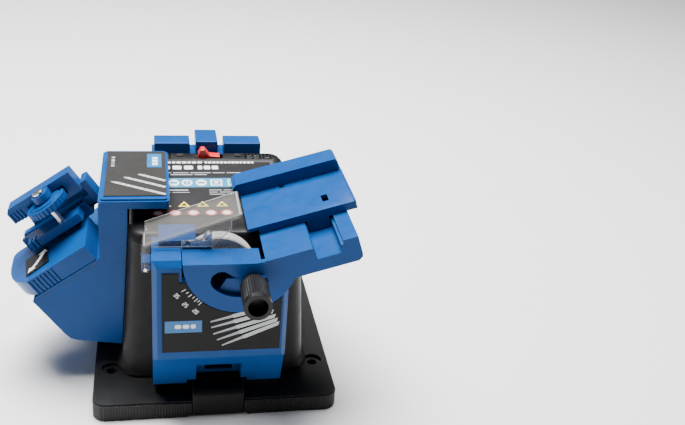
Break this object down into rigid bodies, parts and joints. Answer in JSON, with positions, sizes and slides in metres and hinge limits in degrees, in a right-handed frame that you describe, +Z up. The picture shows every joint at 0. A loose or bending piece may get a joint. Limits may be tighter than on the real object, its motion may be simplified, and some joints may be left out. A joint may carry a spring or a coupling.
{
  "type": "bench sharpening station",
  "caption": "Compact bench sharpener with a motor tower, a small grinding wheel and clip-on guides for chisels, drill bits and knives.",
  "frame": {"origin": "centre of the underside of the base plate", "axes": "+Z up; -Y is the front, where the grinding wheel and the chisel attachment are; +X to the right seen from the front"},
  "size_m": [0.2326, 0.2233, 0.1542],
  "materials": {
    "blue_plastic": "moulded satin blue ABS",
    "black_plastic": "fine-grained black moulding",
    "label_plate": "laminated dark grey label",
    "clear_hood": "smoked clear plastic",
    "steel": "bright machined steel",
    "rubber": "matt rubber",
    "red_plastic": "glossy red switch key",
    "copper_windings": "laminations and copper",
    "abrasive": "bonded abrasive",
    "circuit_board": "coated laminate",
    "carbon": "pressed carbon",
    "grey_plastic": "moulded"
  },
  "bodies": {
    "tower": {"base_plate": "black_plastic", "base_screw_front_left": "steel", "base_screw_front_right": "steel", "base_screw_rear_left": "steel", "base_screw_rear_right": "steel", "foot_pad_front_left": "rubber", "foot_pad_front_right": "rubber", "foot_pad_rear_left": "rubber", "foot_pad_rear_right": "rubber", "tower_housing": "black_plastic", "top_cover": "black_plastic", "rating_label": "label_plate", "switch_body": "black_plastic", "cable_gland": "rubber", "motor_cradle": "black_plastic", "stator_stack": "steel", "front_bearing": "steel", "rear_bearing": "steel", "front_end_frame": "black_plastic", "rear_end_frame": "black_plastic", "brush_left": "carbon", "brush_right": "carbon", "circuit_board": "circuit_board", "terminal_block": "grey_plastic"},
    "spindle": {"drive_shaft": "steel", "rotor_stack": "copper_windings", "commutator": "copper_windings", "cooling_fan": "black_plastic", "wheel_flange": "steel", "grinding_wheel": "abrasive", "wheel_nut": "steel"},
    "rocker": {"switch_rocker": "red_plastic"},
    "front_catch": {"front_latch": "black_plastic"},
    "left_catch": {"left_latch": "black_plastic"},
    "rear_catch": {"rear_latch": "black_plastic"},
    "chisel_attachment": {"chisel_body": "blue_plastic", "chisel_label": "label_plate", "clamp_stud": "steel", "hood_pin": "steel", "guard_bracket": "steel", "bracket_bolt": "steel"},
    "table": {"tilt_table": "blue_plastic"},
    "carriage": {"chisel_carriage": "blue_plastic"},
    "knob": {"clamp_knob": "black_plastic"},
    "hood": {"hood": "clear_hood"},
    "drill_attachment": {"drill_body": "blue_plastic", "drill_label": "label_plate", "swing_pin": "steel"},
    "drill_swing": {"drill_platform": "blue_plastic", "platform_label": "label_plate", "clamp_lower_jaw": "blue_plastic", "lead_screw": "steel"},
    "drill_clamp": {"clamp_upper_bar": "blue_plastic"},
    "clamp_wheel": {"thumb_wheel": "blue_plastic"},
    "knife_attachment": {"knife_body": "blue_plastic", "knife_guide_left": "blue_plastic", "knife_guide_right": "blue_plastic", "knife_guide_middle": "blue_plastic"}
  },
  "joints": [
    {"name": "wheel_spin", "type": "hinge", "parent": "tower", "child": "spindle", "pos_m": [0, 0, 0.1014], "axis": [0, 1, 0], "continuous": true},
    {"name": "switch_rock", "type": "hinge", "parent": "tower", "child": "rocker", "pos_m": [0.0008, 0.0542, 0.128], "axis": [0, -1, 0], "range_deg": [0, 12]},
    {"name": "front_latch_press", "type": "hinge", "parent": "tower", "child": "front_catch", "pos_m": [0.0004, -0.0883, 0.0008], "axis": [-1, 0, 0], "range_deg": [0, 3], "stiffness_Nm_per_rad": 2},
    {"name": "left_latch_press", "type": "hinge", "parent": "tower", "child": "left_catch", "pos_m": [-0.0765, 0.0009, 0.0008], "axis": [0, 1, 0], "range_deg": [0, 3], "stiffness_Nm_per_rad": 2},
    {"name": "rear_latch_press", "type": "hinge", "parent": "tower", "child": "rear_catch", "pos_m": [-0.0004, 0.0883, 0.0008], "axis": [1, 0, 0], "range_deg": [0, 3], "stiffness_Nm_per_rad": 2},
    {"name": "chisel_attachment_off", "type": "slide", "parent": "tower", "child": "chisel_attachment", "axis": [0, -1, 0], "range_m": [0, 0.1]},
    {"name": "table_tilt", "type": "hinge", "parent": "chisel_attachment", "child": "table", "pos_m": [0.0125, -0.098, 0.1215], "axis": [0, -1, 0], "range_deg": [0, 40]},
    {"name": "carriage_slide", "type": "slide", "parent": "table", "child": "carriage", "axis": [0, 1, 0], "range_m": [-0.038, 0.003]},
    {"name": "knob_turn", "type": "hinge", "parent": "chisel_attachment", "child": "knob", "pos_m": [0.0203, -0.115, 0.1057], "axis": [0, -1, 0], "range_deg": [0, 360]},
    {"name": "hood_open", "type": "hinge", "parent": "chisel_attachment", "child": "hood", "pos_m": [-0.0464, -0.072, 0.1074], "axis": [0, -1, 0], "range_deg": [0, 100]},
    {"name": "drill_attachment_off", "type": "slide", "parent": "tower", "child": "drill_attachment", "axis": [-1, 0, 0], "range_m": [0, 0.1]},
    {"name": "platform_swing", "type": "hinge", "parent": "drill_attachment", "child": "drill_swing", "pos_m": [-0.09425, 0, 0.09935], "axis": [-0.565, 0, 0.8251], "range_deg": [-20, 3]},
    {"name": "clamp_close", "type": "slide", "parent": "drill_swing", "child": "drill_clamp", "axis": [-0.565, 0, 0.8251], "range_m": [-0.005, 0]},
    {"name": "thumb_wheel_turn", "type": "hinge", "parent": "drill_clamp", "child": "clamp_wheel", "pos_m": [-0.11224, -0.006, 0.11854], "axis": [-0.565, 0, 0.8251], "range_deg": [-305, 5]},
    {"name": "knife_attachment_off", "type": "slide", "parent": "tower", "child": "knife_attachment", "axis": [0, 1, 0], "range_m": [0, 0.1]}
  ],
  "couplings": [
    {"joint": "thumb_wheel_turn", "follows": "clamp_close", "rad_per_m": 1047.2}
  ]
}
